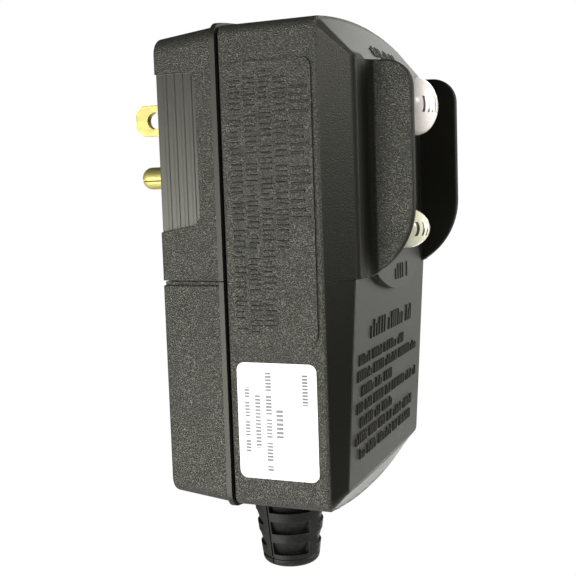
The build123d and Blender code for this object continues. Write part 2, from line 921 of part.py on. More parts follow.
def terminal_plate(x):
    near = terminal_floor_depth - terminal_plate_thickness
    bay = terminal_pitch() - terminal_wall - 2 * terminal_plate_margin
    top = terminal_leg_height() + terminal_plate_thickness / 2
    foot = -terminal_block_drop + terminal_plate_margin
    body = span(x - bay / 2, x + bay / 2, foot, top, near, terminal_floor_depth)
    body += span(x - terminal_leg_width / 2, x + terminal_leg_width / 2, top - terminal_plate_thickness, top,
                 near, board_depth + board_thickness + tail_past_board)
    return body - bar(x, terminal_middle(), terminal_screw_radius + pilot_play, near - overrun,
                      terminal_floor_depth + overrun)


def screw(x, z, shank, length, head, head_height, near):
    shoulder = near + head_height
    body = bar(x, z, head, near, shoulder) + bar(x, z, shank, shoulder, shoulder + length)
    slot = block(x, z, screw_slot_width, 2 * head, near - overrun, near + screw_slot_depth)
    cross = block(x, z, 2 * head, screw_slot_width, near - overrun, near + screw_slot_depth)
    bit = bar(x, z, head - screw_slot_width, near - overrun, near + screw_slot_depth)
    return body - ((slot + cross) & bit)


def terminal_screw(x):
    washer_near = terminal_floor_depth - terminal_plate_thickness - washer_thickness
    near = washer_near - terminal_head_height
    length = terminal_floor_depth + terminal_screw_bite - washer_near - screw_end_play
    return screw(x, terminal_middle(), terminal_screw_radius, length, terminal_head_radius,
                 terminal_head_height, near)


def terminal_washer(x):
    near = terminal_floor_depth - terminal_plate_thickness - washer_thickness
    body = block(x, terminal_middle(), washer_width, washer_width, near, near + washer_thickness)
    return body - bar(x, terminal_middle(), terminal_screw_radius + pilot_play, near - overrun,
                      near + washer_thickness + overrun)


# Cord clamp and grommet
def cord_clamp():
    near = clamp_pillar_depth - clamp_thickness
    width = clamp_pitch + clamp_height
    body = slab(Pos(0, -clamp_drop) * SlotOverall(width, clamp_height), near, clamp_pillar_depth)
    ridge = block(0, -clamp_drop, clamp_pitch - clamp_height - overrun, clamp_ridge, clamp_pillar_depth,
                  clamp_pillar_depth + clamp_ridge)
    body += ridge
    for x, z in clamp_places():
        body -= bar(x, z, screw_radius + shank_play, near - overrun, clamp_pillar_depth + overrun)
    return body


def clamp_screw(x, z):
    near = clamp_pillar_depth - clamp_thickness - screw_head_height
    return screw(x, z, screw_radius, clamp_screw_length, screw_head_radius, screw_head_height, near)


def case_screw(x, z):
    return screw(x, z, screw_radius, screw_length, screw_head_radius, screw_head_height, screw_head_depth)


def cover_screw(x, z):
    return screw(x, z, screw_radius, cover_screw_length, screw_head_radius, screw_head_height,
                 screw_head_depth)


def grommet_radius(z):
    sill = -corner_drop - bottom_sag
    slope = (grommet_root_radius - grommet_tip_radius) / (grommet_end_drop + sill)
    return grommet_root_radius - slope * (sill - z)


def grommet_profile():
    roof = -corner_drop - bottom_sag + rear_wall + rear_taper_z
    sill = -corner_drop - bottom_sag - grommet_collar_play
    seat = roof + grommet_collar_play
    crown = roof + grommet_collar_height
    step = grommet_rim - grommet_end_drop
    brow = step + rim_groove_height
    throat = grommet_radius(brow) - rim_groove
    face = make_face(Polyline(
        (cord_radius, crown), (grommet_collar_radius, crown), (grommet_collar_radius, seat),
        (grommet_neck_radius, seat), (grommet_neck_radius, sill), (grommet_root_radius, sill),
        (grommet_radius(brow), brow), (throat, brow), (throat, step), (grommet_radius(step), step),
        (grommet_tip_radius, -grommet_end_drop), (cord_radius, -grommet_end_drop), close=True))
    tip = face.vertices().sort_by_distance(Vector(grommet_tip_radius, -grommet_end_drop, 0))[0]
    return fillet(tip, rim_corner)


def cord_grommet():
    body = revolve(Plane.XZ * grommet_profile(), axis=Axis.Z)
    for i in range(window_count):
        low = -window_drop - i * window_pitch
        for cut in grommet_windows(low, window_sink, window_ramp, 0):
            body -= cut
        for cut in grommet_windows(low + side_window_lead, side_window_sink, side_window_ramp, quarter_turn):
            body -= cut
    sill = -corner_drop - bottom_sag
    floor = grommet_tip_radius - slit_sink
    reach = grommet_root_radius + overrun
    slit = Pos(0, -(floor + reach) / 2, sill - grommet_end_drop) * Box(
        slit_width, reach - floor, 2 * grommet_end_drop)
    body -= Rot(0, 0, -slit_turn) * slit
    return Pos(0, -cord_depth, 0) * Rot(0, 0, grommet_turn - quarter_turn) * body


# A pair of opposite windows whose floors slope inwards to a sharp lower edge.
def grommet_windows(low, sink, ramp, turn):
    top = low + window_height
    reach = grommet_root_radius + overrun
    side = make_face(Polyline((grommet_radius(top) - sink, top), (grommet_radius(low) - sink - ramp, low),
                              (reach, low), (reach, top), close=True))
    sector = revolve(Plane.XZ * side, axis=Axis.Z, revolution_arc=window_spread)
    start = turn - quarter_turn - window_spread / 2
    return [Rot(0, 0, start) * sector, Rot(0, 0, start + 2 * quarter_turn) * sector]


# Relay
def relay_yoke():
    foot = board_depth + board_thickness
    top = foot + yoke_height
    z = -relay_drop
    upright = z + yoke_reach
    half = yoke_width / 2
    heel = z - yoke_reach + yoke_thickness
    body = span(relay_x - half, relay_x + half, heel, upright, foot, foot + yoke_thickness)
    body += span(relay_x - half, relay_x + half, upright - yoke_thickness, upright, foot, top)
    tab_end = upright + armature_tail
    tab_half = spring_tab_width / 2
    body += span(relay_x - tab_half, relay_x + tab_half, upright - yoke_thickness / 2, tab_end,
                 spring_tab_depth - spring_tab_thickness, spring_tab_depth)
    return body


def pole_depth():
    return board_depth + board_thickness + yoke_height + armature_play - pole_gap


def relay_core():
    foot = board_depth + board_thickness + yoke_thickness
    z = -relay_drop
    rod = bar(relay_x, z, core_radius, foot, pole_depth())
    return rod + bar(relay_x, z, pole_radius, pole_depth() - pole_thickness, pole_depth())


def relay_bobbin():
    near = board_depth + board_thickness + yoke_thickness + bobbin_play
    far = pole_depth() - pole_thickness - bobbin_play
    z = -relay_drop
    hole = core_radius + bobbin_play
    body = bar(relay_x, z, hole + bobbin_wall, near, far)
    body += bar(relay_x, z, bobbin_radius, near, near + bobbin_flange)
    body += bar(relay_x, z, bobbin_radius, far - bobbin_flange, far)
    return body - bar(relay_x, z, hole, near - overrun, far + overrun)


def relay_coil():
    near = board_depth + board_thickness + yoke_thickness + bobbin_play + bobbin_flange
    far = pole_depth() - pole_thickness - bobbin_play - bobbin_flange
    z = -relay_drop
    return bar(relay_x, z, coil_radius, near, far) - bar(
        relay_x, z, core_radius + bobbin_play + bobbin_wall, near, far)


def armature_depth():
    return board_depth + board_thickness + yoke_height + armature_play


def relay_armature():
    top = -relay_drop + yoke_reach + armature_tail
    foot = -relay_drop - armature_reach
    half = armature_width / 2
    near = armature_depth()
    return span(relay_x - half, relay_x + half, foot, top, near, near + armature_thickness)


def carrier_foot():
    return -relay_drop - armature_reach - carrier_height


def contact_carrier():
    half = carrier_width / 2
    head = -relay_drop - armature_reach
    near = armature_depth()
    back = near + armature_thickness
    body = span(relay_x - half, relay_x + half, carrier_foot(), head, near, back + carrier_top)
    return body + span(relay_x - half, relay_x + half, head, head + carrier_top, back, back + carrier_top)


def contact_columns():
    return [relay_x - contact_spacing / 2, relay_x + contact_spacing / 2]


def contact_spring_end():
    return -relay_drop - armature_reach - contact_spring_length


def moving_spring(x):
    half = contact_spring_width / 2
    root = -relay_drop - armature_reach
    near = armature_depth() - contact_spring_thickness
    return span(x - half, x + half, contact_spring_end(), root, near, armature_depth())


def moving_tip(x):
    near = armature_depth() - contact_spring_thickness
    return bar(x, contact_spring_end() + contact_from_end, contact_radius, near - contact_thickness, near)


def fixed_contact(x):
    foot = board_depth + board_thickness
    moving_face = armature_depth() - contact_spring_thickness - contact_thickness
    tip_near = moving_face - contact_rest_gap - contact_thickness
    half = contact_spring_width / 2
    end = contact_spring_end() - fixed_strip_reach / 2
    middle = contact_spring_end() + contact_from_end
    body = span(x - half, x + half, end, end + fixed_strip_thickness, foot, tip_near)
    body += span(x - half, x + half, end, middle + contact_radius, tip_near - fixed_strip_thickness, tip_near)
    return body + bar(x, middle, contact_radius, tip_near, tip_near + contact_thickness)


def armature_spring():
    z = -relay_drop + yoke_reach + armature_tail / 2
    return coil_spring(relay_x, z, armature_spring_radius, armature_spring_wire, armature_spring_turns,
                       spring_tab_depth, armature_depth())


# Earth leakage sensor
def sensor_case():
    foot = board_depth + board_thickness
    z = -sensor_drop
    body = bar(sensor_x, z, sensor_radius, foot, foot + sensor_height)
    body -= bar(sensor_x, z, sensor_bore, foot - overrun, foot + sensor_height + overrun)
    hollow = bar(sensor_x, z, sensor_radius - sensor_wall, foot - overrun, foot + sensor_height - sensor_wall)
    hollow -= bar(sensor_x, z, sensor_bore + sensor_wall, foot - overrun, foot + sensor_height)
    return body - hollow


def sensor_core_near(i):
    foot = board_depth + board_thickness
    return foot + winding_thickness + i * (ring_core_height + 2 * winding_thickness + winding_gap)


def sensor_core(i):
    near = sensor_core_near(i)
    z = -sensor_drop
    return bar(sensor_x, z, ring_core_outer, near, near + ring_core_height) - bar(
        sensor_x, z, ring_core_inner, near, near + ring_core_height)


def sensor_winding(i):
    near = sensor_core_near(i)
    thick = winding_thickness
    section = Rectangle(ring_core_outer - ring_core_inner + 2 * thick, ring_core_height + 2 * thick)
    section -= Rectangle(ring_core_outer - ring_core_inner, ring_core_height)
    middle = (ring_core_outer + ring_core_inner) / 2
    ring = revolve(Plane.XZ * Pos(middle, 0) * section, axis=Axis.Z, revolution_arc=winding_arc)
    return Plane(origin=(sensor_x, -(near + ring_core_height / 2), -sensor_drop), z_dir=(0, -1, 0)) * ring


def sensor_conductor(way):
    foot = board_depth + board_thickness
    crest = foot + sensor_height + conductor_clearance
    inner = -sensor_drop + way * conductor_spacing / 2
    outer = -sensor_drop + way * (sensor_radius + conductor_clearance)
    points = [(sensor_x, -foot, inner), (sensor_x, -crest, inner), (sensor_x, -crest, outer),
              (sensor_x, -foot, outer)]
    path = FilletPolyline(*points, radius=conductor_bend)
    section = Plane(origin=points[0], z_dir=(0, -1, 0)) * RegularPolygon(conductor_radius, wire_sides)
    return sweep(section, path=path)


# Small parts soldered to the board
def control_chip(x, z):
    foot = board_depth + board_thickness
    body = block(x, z, chip_length, chip_width, foot + chip_standoff, foot + chip_height)
    for side in (-1, 1):
        for i in range(chip_leg_count):
            leg_x = x + (i - (chip_leg_count - 1) / 2) * chip_leg_pitch
            leg_z = z + side * (chip_width + chip_leg_width) / 2
            body += block(leg_x, leg_z, chip_leg_width, chip_leg_width, foot, foot + chip_height / 2)
    return body


def axial_part(x, z, radius, length):
    foot = -board_depth - board_thickness
    middle = foot - radius - axial_standoff
    reach = length / 2 + axial_lead_reach
    points = [(x - reach, foot, z), (x - reach, middle, z), (x + reach, middle, z), (x + reach, foot, z)]
    path = FilletPolyline(*points, radius=axial_bend)
    section = Plane(origin=points[0], z_dir=(0, -1, 0)) * RegularPolygon(axial_lead, wire_sides)
    lead = sweep(section, path=path)
    body = extrude(Plane.YZ.offset(x - length / 2) * Pos(middle, z) * Circle(radius), amount=length)
    return body + lead


def resistor(place):
    return axial_part(*on_board(place), resistor_radius, resistor_length)


def diode(place):
    return axial_part(*on_board(place), diode_radius, diode_length)


def varistor(x, z):
    middle = board_depth + board_thickness + part_standoff + varistor_radius
    disc = Pos(x, -middle, z) * Cylinder(varistor_radius, varistor_thickness)
    disc = chamfer(disc.edges().filter_by(GeomType.CIRCLE), varistor_edge)
    for side in (-1, 1):
        disc += bar(x + side * varistor_radius / 2, z, axial_lead, board_depth + board_thickness, middle)
    return disc


def film_capacitor(x, z):
    foot = board_depth + board_thickness
    return block(x, z, film_length, film_width, foot, foot + film_height)


def filter_capacitor(x, z):
    foot = board_depth + board_thickness
    can = bar(x, z, can_radius, foot, foot + can_height)
    return chamfer(can.faces().sort_by(Axis.Y)[0].edges(), can_edge)


def thyristor(x, z):
    foot = board_depth + board_thickness
    near = foot + part_standoff
    body = bar(x, z, thyristor_radius, near, near + thyristor_height)
    body -= span(x - can_radius, x + can_radius, z + thyristor_flat, z + can_radius, near - overrun,
                 near + thyristor_height + overrun)
    for i in (-1, 0, 1):
        body += bar(x + i * chip_leg_pitch / 2, z, axial_lead, foot, near + overrun)
    return body


# Sticker on the side
def side_label():
    half = case_width / 2
    sheet = Rectangle(label_far - label_near, label_drop - label_top)
    sheet = fillet(sheet.vertices(), label_corner)
    sheet = Pos(-(label_near + label_far) / 2, -(label_top + label_drop) / 2) * sheet
    return extrude(Plane.YZ.offset(-half - label_thickness) * sheet, amount=label_thickness)


def group(solids):
    return Compound(children=[s for s in solids])


os.makedirs("parts", exist_ok=True)

save("front_housing", front_housing())
save("rear_housing", rear_housing())
save("wiring_cover", wiring_cover())
save("reset_button", button(reset_radius, 0, reset_depth, reset_shoulder, reset_travel))
save("test_button", button(test_radius, -test_drop, test_depth, test_shoulder, test_travel))
save("reset_spring", coil_spring(0, 0, reset_spring_radius, reset_spring_wire, reset_spring_turns,
                                 frame_depth + frame_thickness, flange_underside()))
save("test_spring", coil_spring(0, -test_drop, test_spring_radius, test_spring_wire, test_spring_turns,
                                frame_depth + frame_thickness, flange_underside()))
save("switch_frame", switch_frame())
save("reset_leaf", switch_leaf(0, 1))
save("test_leaf", switch_leaf(-test_drop, -1))
save("switch_studs", group(switch_studs()))
save("indicator_lens", indicator_lens())
save("indicator_lamp", indicator_lamp())
save("line_blade", blade(-blade_pitch / 2))
save("neutral_blade", blade(blade_pitch / 2))
save("ground_pin", ground_pin())
save("ground_strap", ground_strap())
save("circuit_board", circuit_board())
save("terminal_block", terminal_block())
save("terminal_plates", group([terminal_plate(x) for x in terminal_places()]))
save("terminal_washers", group([terminal_washer(x) for x in terminal_places()]))
save("terminal_screws", group([terminal_screw(x) for x in terminal_places()]))
save("cord_clamp", cord_clamp())
save("clamp_screws", group([clamp_screw(x, z) for x, z in clamp_places()]))
save("case_screws", group([case_screw(x, z) for x, z in case_screw_places()]))
save("cover_screws", group([cover_screw(x, z) for x, z in cover_screw_places()]))
save("cord_grommet", cord_grommet())
save("relay_yoke", relay_yoke())
save("relay_core", relay_core())
save("relay_bobbin", relay_bobbin())
save("relay_coil", relay_coil())
save("relay_armature", relay_armature())
save("contact_carrier", contact_carrier())
save("moving_springs", group([moving_spring(x) for x in contact_columns()]))
save("moving_contacts", group([moving_tip(x) for x in contact_columns()]))
save("fixed_contacts", group([fixed_contact(x) for x in contact_columns()]))
save("armature_spring", armature_spring())
save("sensor_case", sensor_case())
save("sensor_cores", group([sensor_core(i) for i in range(ring_core_count)]))
save("sensor_windings", group([sensor_winding(i) for i in range(ring_core_count)]))
save("sensor_conductors", group([sensor_conductor(way) for way in (1, -1)]))
save("control_chip", control_chip(*on_board(chip_place)))
save("varistor", varistor(*on_board(varistor_place)))
save("film_capacitor", film_capacitor(*on_board(film_place)))
save("filter_capacitor", filter_capacitor(*on_board(can_place)))
save("resistors", group([resistor(place) for place in resistor_places]))
save("diodes", group([diode(place) for place in diode_places]))
save("thyristor", thyristor(*on_board(thyristor_place)))
save("side_label", side_label())
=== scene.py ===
import math
import random

import bpy
from mathutils import Matrix, Vector


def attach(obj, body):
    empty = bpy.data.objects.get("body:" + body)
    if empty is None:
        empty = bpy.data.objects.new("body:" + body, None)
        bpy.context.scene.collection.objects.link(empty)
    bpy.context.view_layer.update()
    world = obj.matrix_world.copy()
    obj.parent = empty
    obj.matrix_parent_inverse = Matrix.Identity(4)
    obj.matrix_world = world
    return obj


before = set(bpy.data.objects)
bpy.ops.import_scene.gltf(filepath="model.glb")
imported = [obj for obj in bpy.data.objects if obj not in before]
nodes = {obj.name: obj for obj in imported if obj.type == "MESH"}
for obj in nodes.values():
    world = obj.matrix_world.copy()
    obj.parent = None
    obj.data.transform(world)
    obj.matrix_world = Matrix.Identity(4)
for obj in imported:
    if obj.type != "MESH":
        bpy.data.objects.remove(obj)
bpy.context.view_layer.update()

mm = 0.001
print("frame loaded:", len(nodes), "nodes")


# Camera at the picture's angle, soft lamps, white surroundings.
cameraLook = {
    "yaw": -67.84, "pitch": 5.58, "roll": -1.92,      # degrees
    "away": 203.18, "right": 14.53, "up": -35.89,     # mm, along the camera's own axes
    "lens": 59.635, "sensor": 36.0,
}


def addCamera(look):
    yaw, pitch, roll = (math.radians(look[k]) for k in ("yaw", "pitch", "roll"))
    back = Vector((math.sin(yaw) * math.cos(pitch), -math.cos(yaw) * math.cos(pitch), math.sin(pitch)))
    flat = Vector((0, 0, 1)).cross(back).normalized()
    rise = back.cross(flat)
    right = math.cos(roll) * flat + math.sin(roll) * rise
    up = math.cos(roll) * rise - math.sin(roll) * flat
    spot = (back * look["away"] + right * look["right"] + up * look["up"]) * mm
    data = bpy.data.cameras.new("camera")
    data.lens = look["lens"]
    data.sensor_width = look["sensor"]
    data.clip_start = 0.01
    obj = bpy.data.objects.new("camera", data)
    obj.matrix_world = Matrix.Translation(spot) @ Matrix((right, up, back)).transposed().to_4x4()
    bpy.context.scene.collection.objects.link(obj)
    bpy.context.scene.camera = obj


lampLook = {
    # name: (spot in m, aims at, width, height, watts, colour)
    "leftWall": ((-0.76, 0.42, -0.40), (0, -0.02, -0.03), 1.0, 0.9, 16.0, (1, 1, 1)),
    "frontHigh": ((0.33, -0.70, 0.16), (0, -0.02, -0.03), 0.5, 0.5, 9.5, (1, 1, 1)),
    "leftHigh": ((-0.56, -0.58, 0.28), (0, -0.02, -0.01), 0.3, 0.2, 2.5, (1, 1, 0.98)),
    "rightHigh": ((0.80, -0.12, 0.32), (0, -0.02, -0.03), 0.4, 0.35, 0.75, (0.99, 1, 0.95)),
    "rightLow": ((0.78, 0.02, -0.44), (0, -0.02, -0.06), 0.4, 0.35, 0.85, (0.99, 1, 0.96)),
    "rightWall": ((1.0, -0.42, -0.05), (0, -0.02, -0.03), 0.5, 0.6, 0.75, (0.98, 1, 0.92)),
    "leftLow": ((-0.65, 0.30, -0.17), (0, -0.02, -0.04), 0.34, 0.22, 2.6, (1, 1, 1)),
}


def addLamp(name, spot, target, width, height, watts, colour):
    data = bpy.data.lights.new(name, "AREA")
    data.shape = "RECTANGLE"
    data.size = width
    data.size_y = height
    data.energy = watts
    data.color = colour
    obj = bpy.data.objects.new(name, data)
    obj.location = spot
    obj.rotation_euler = (Vector(target) - Vector(spot)).to_track_quat("-Z", "Y").to_euler()
    bpy.context.scene.collection.objects.link(obj)


worldLook = {"light": (0.96, 0.96, 0.92), "strength": 0.09, "seen": 1.0}


def addWorld(look):
    world = bpy.data.worlds.new("studio")
    bpy.context.scene.world = world
    world.use_nodes = True
    tree = world.node_tree
    tree.nodes.clear()
    rays = tree.nodes.new("ShaderNodeLightPath")
    soft = tree.nodes.new("ShaderNodeBackground")
    soft.inputs["Color"].default_value = (*look["light"], 1)
    soft.inputs["Strength"].default_value = look["strength"]
    white = tree.nodes.new("ShaderNodeBackground")
    white.inputs["Strength"].default_value = look["seen"]
    white.inputs["Color"].default_value = (1, 1, 1, 1)
    pick = tree.nodes.new("ShaderNodeMixShader")
    out = tree.nodes.new("ShaderNodeOutputWorld")
    tree.links.new(rays.outputs["Is Camera Ray"], pick.inputs[0])
    tree.links.new(soft.outputs[0], pick.inputs[1])
    tree.links.new(white.outputs[0], pick.inputs[2])
    tree.links.new(pick.outputs[0], out.inputs["Surface"])


floorLook = {"height": -0.62, "half": 2.4, "colour": (0.8, 0.8, 0.79), "seen": 1.0}


def addFloor(look):
    mesh = bpy.data.meshes.new("floor")
    h, z = look["half"], look["height"]
    mesh.from_pydata([(-h, -h, z), (h, -h, z), (h, h, z), (-h, h, z)], [], [(0, 1, 2, 3)])
    floor = bpy.data.objects.new("floor", mesh)
    bpy.context.scene.collection.objects.link(floor)
    mat = bpy.data.materials.new("paleFloor")
    mat.use_nodes = True
    tree = mat.node_tree
    tree.nodes.clear()
    out = tree.nodes.new("ShaderNodeOutputMaterial")
    plain = tree.nodes.new("ShaderNodeBsdfDiffuse")
    plain.inputs["Color"].default_value = (*look["colour"], 1)
    glow = tree.nodes.new("ShaderNodeEmission")
    glow.inputs["Strength"].default_value = look["seen"]
    rays = tree.nodes.new("ShaderNodeLightPath")
    pick = tree.nodes.new("ShaderNodeMixShader")
    tree.links.new(rays.outputs["Is Camera Ray"], pick.inputs[0])
    tree.links.new(plain.outputs[0], pick.inputs[1])
    tree.links.new(glow.outputs[0], pick.inputs[2])
    tree.links.new(pick.outputs[0], out.inputs["Surface"])
    mesh.materials.append(mat)


addCamera(cameraLook)
for name, row in lampLook.items():
    addLamp(name, *row)
addWorld(worldLook)
addFloor(floorLook)
bpy.context.scene.view_settings.view_transform = "Standard"
print("camera, lamps and floor placed")


# Shader groups: each effect that several materials share is built once.
floatSocket = "NodeSocketFloat"
patchScale = 180.0    # of the rubbed patches, per metre
cloudScale = 220.0    # of tarnish on metal, per metre
drifts = (0.35, 0.65)    # low and high noise that a mask runs between
speckles = (0.3, 0.7)


def newGroup(name, inputs, outputs):
    group = bpy.data.node_groups.new(name, "ShaderNodeTree")
    for label, kind, value in inputs:
        socket = group.interface.new_socket(name=label, in_out="INPUT", socket_type=kind)
        if value is not None:
            socket.default_value = value
    for label, kind in outputs:
        group.interface.new_socket(name=label, in_out="OUTPUT", socket_type=kind)
    start = group.nodes.new("NodeGroupInput")
    end = group.nodes.new("NodeGroupOutput")
    return group, start, end


def node(tree, kind, links=None, **values):
    made = tree.nodes.new("ShaderNode" + kind)
    for key, value in values.items():
        setattr(made, key, value)
    for key, value in (links or {}).items():
        socket = made.inputs[key]
        if hasattr(value, "is_output"):
            tree.links.new(value, socket)
        else:
            socket.default_value = value
    return made


def maths(tree, operation, *values):
    return node(tree, "Math", dict(enumerate(values)), operation=operation).outputs[0]


def spread(tree, value, fromLow, fromHigh, toLow, toHigh):
    return node(tree, "MapRange", {"Value": value, "From Min": fromLow, "From Max": fromHigh,
                                   "To Min": toLow, "To Max": toHigh}).outputs[0]


# Spark-eroded mould grain: rounded pits and crests a few tenths of a millimetre across.
def buildGrain():
    group, start, end = newGroup(
        "mouldGrain",
        [("Size", floatSocket, 0.4), ("Roll", floatSocket, 8.0)],
        [("Height", floatSocket), ("Speckle", floatSocket), ("Drift", floatSocket)])
    at = node(group, "TexCoord").outputs["Object"]
    scale = maths(group, "DIVIDE", 1000.0, start.outputs["Size"])
    fine = node(group, "TexNoise", {"Vector": at, "Scale": scale, "Detail": 1.0, "Roughness": 0.5})
    pits = node(group, "TexVoronoi", {"Vector": at, "Scale": scale, "Smoothness": 0.6}, feature="SMOOTH_F1")
    shallow = maths(group, "MULTIPLY", pits.outputs["Distance"], 0.5)
    both = maths(group, "ADD", fine.outputs["Fac"], shallow)
    wide = maths(group, "DIVIDE", 1000.0, start.outputs["Roll"])
    drift = node(group, "TexNoise", {"Vector": at, "Scale": wide, "Detail": 3.0, "Roughness": 0.5})
    group.links.new(both, end.inputs["Height"])
    group.links.new(fine.outputs["Fac"], end.inputs["Speckle"])
    group.links.new(drift.outputs["Fac"], end.inputs["Drift"])
    return group


# Rubbed edges: where a rounded normal leaves the real one, and only in patches.
def buildEdges():
    group, start, end = newGroup(
        "rubbedEdges",
        [("Width", floatSocket, 0.4), ("Patchy", floatSocket, 0.5)],
        [("Mask", floatSocket), ("Normal", "NodeSocketVector")])
    true = node(group, "NewGeometry").outputs["Normal"]
    width = maths(group, "MULTIPLY", start.outputs["Width"], mm)
    bevel = node(group, "Bevel", {"Radius": width}, samples=4).outputs["Normal"]
    turn = node(group, "VectorMath", {0: bevel, 1: true}, operation="DOT_PRODUCT").outputs["Value"]
    away = spread(group, turn, 0.99, 0.86, 0.0, 1.0)
    at = node(group, "TexCoord").outputs["Object"]
    patch = node(group, "TexNoise", {"Vector": at, "Scale": patchScale, "Detail": 4.0}).outputs["Fac"]
    some = spread(group, patch, *speckles, start.outputs["Patchy"], 1.0)
    group.links.new(maths(group, "MULTIPLY", away, some), end.inputs["Mask"])
    group.links.new(bevel, end.inputs["Normal"])
    return group


# Fine lines that run one way, for drawn wire, stamped strip and wound coils.
def buildLines():
    group, start, end = newGroup(
        "drawnLines",
        [("Stretch", "NodeSocketVector", (1, 1, 1)), ("Size", floatSocket, 0.2)],
        [("Height", floatSocket), ("Tarnish", floatSocket)])
    at = node(group, "TexCoord").outputs["Object"]
    stretch = start.outputs["Stretch"]
    stretched = node(group, "VectorMath", {0: at, 1: stretch}, operation="MULTIPLY").outputs[0]
    scale = maths(group, "DIVIDE", 1000.0, start.outputs["Size"])
    lines = node(group, "TexNoise", {"Vector": stretched, "Scale": scale, "Detail": 3.0})
    cloud = node(group, "TexNoise", {"Vector": at, "Scale": cloudScale, "Detail": 4.0, "Roughness": 0.6})
    group.links.new(lines.outputs["Fac"], end.inputs["Height"])
    group.links.new(cloud.outputs["Fac"], end.inputs["Tarnish"])
    return group


groups = {"grain": buildGrain(), "edges": buildEdges(), "lines": buildLines()}
print("shader groups built:", len(groups))


def use(tree, key, **values):
    made = tree.nodes.new("ShaderNodeGroup")
    made.node_tree = groups[key]
    for label, value in values.items():
        if hasattr(value, "is_output"):
            tree.links.new(value, made.inputs[label])
        else:
            made.inputs[label].default_value = value
    return made.outputs


# Where a point lies on the part, in millimetres; Side is the distance from the middle plane.
# These masks are plain nodes in each material, since shine and bump strength take nothing from a group.
def partAxes(tree):
    at = node(tree, "SeparateXYZ", {0: node(tree, "TexCoord").outputs["Object"]}).outputs
    across = maths(tree, "MULTIPLY", at["X"], 1000.0)
    return {"X": across, "Side": maths(tree, "ABSOLUTE", across),
            "Depth": maths(tree, "MULTIPLY", at["Y"], -1000.0), "Z": maths(tree, "MULTIPLY", at["Z"], 1000.0)}


# One between two values, falling off softly outside them.
def band(tree, value, low, high, soft=0.1):
    rise = spread(tree, value, low - soft, low, 0.0, 1.0)
    fall = spread(tree, value, high, high + soft, 1.0, 0.0)
    return maths(tree, "MULTIPLY", rise, fall)


def together(tree, first, *others):
    for other in others:
        first = maths(tree, "MULTIPLY", first, other)
    return first


def largest(tree, first, *others):
    for other in others:
        first = maths(tree, "MAXIMUM", first, other)
    return first


def mixValue(tree, amount, low, high):
    return node(tree, "Mix", {"Factor": amount, 2: low, 3: high}).outputs[0]


# One inside limits on several axes of the part: low, high and how softly it ends.
def zone(tree, axes, limits):
    return together(tree, *(band(tree, axes[axis], *row) for axis, row in limits.items()))


def newMaterial(name):
    mat = bpy.data.materials.new(name)
    mat.use_nodes = True
    tree = mat.node_tree
    tree.nodes.clear()
    out = tree.nodes.new("ShaderNodeOutputMaterial")
    skin = tree.nodes.new("ShaderNodeBsdfPrincipled")
    tree.links.new(skin.outputs[0], out.inputs["Surface"])
    return mat, tree, skin


def mixColour(tree, amount, low, high):
    mix = tree.nodes.new("ShaderNodeMix")
    mix.data_type = "RGBA"
    for socket, value in ((mix.inputs["Factor"], amount), (mix.inputs[6], low), (mix.inputs[7], high)):
        if hasattr(value, "is_output"):
            tree.links.new(value, socket)
        elif isinstance(value, (int, float)):
            socket.default_value = value
        else:
            socket.default_value = (*value, 1)
    return mix.outputs[2]


def bumpFrom(tree, height, strength, distance, normal=None):
    links = {"Height": height, "Strength": strength, "Distance": distance * mm}
    if normal is not None:
        links["Normal"] = normal
    return node(tree, "Bump", links).outputs["Normal"]


# Case: coarse grain on the sides and guards, finer on the front plates, smooth in grips and at the seam.
# Painted shade: the strip beside the guards, the guards' inner faces and front rims and the lower chamfers
# are darkened and made less shiny; the moulded bars' flanks and tops are darkened.
caseLook = {
    "colour": (0.040, 0.040, 0.033), "frontColour": (0.010, 0.010, 0.008), "deep": (0.008, 0.008, 0.007),
    "rub": (0.09, 0.09, 0.06), "smooth": (0.008, 0.008, 0.007), "reliefShade": (0.004, 0.004, 0.003),
    "shaded": (0.004, 0.004, 0.003), "sheen": (1.0, 0.99, 0.87), "shine": 0.5, "shadedShine": 0.15,
    "rough": (0.20, 0.30), "pitRough": 0.45, "smoothRough": 0.38, "frontRough": 0.38, "edgeRough": 0.65,
    "grain": 0.22, "roll": 24, "height": 0.17, "bump": 1.0, "frontBump": 0.3, "smoothBump": 0.05,
    "pits": (0.44, 0.60), "frontPits": 0.6, "evenPits": 0.5,
    "edge": 0.3, "sharpEdge": 0.06, "patchy": 0.35, "rubbed": 0.5, "frontRubbed": 0.125, "seamWorn": 0.6,
    "raised": 0.5, "marginShadow": 0.85, "footShade": 0.75, "footShadeFade": (6.0, -45.0),
    "leaning": (0.96, 0.8), "facing": (0.35, 0.8),    # cosines to the axis
}

# Where the finish and the painted shade change, in mm: low, high and how softly it ends.
caseZones = {
    "seam": {"Depth": (12.1, 13.85)},
    "grip": {"Depth": (-1.0, 8.75), "Z": (-23.2, 6.6), "Side": (26.2, 26.8)},
    "plate": {"Depth": (34.6, 40.0), "Side": (-1.0, 24.7), "Z": (-72.0, 7.3)},
    "front": {"Depth": (32.7, 39.4), "Side": (-1.0, 27.9)},
    "panel": {"Side": (28.25, 28.7, 0.02)},
    "raised": {"Side": (28.57, 28.7, 0.01)},
    "inner": {"Side": (16.8, 17.15), "Depth": (39.2, 60.0)},
    "rims": {"Depth": (41.0, 60.0)},
    # margin: painted shadow of the guards on the plate strip beside them.
    "margin": {"Side": (19.3, 25.2, 0.3), "Z": (-31.8, 9.0), "Depth": (38.0, 40.0, 0.5)},
    # foot: painted shade on the chamfers, darker towards the bottom.
    "foot": {"Side": (24.8, 27.9, 0.3), "Depth": (32.9, 38.3, 0.5)},
}


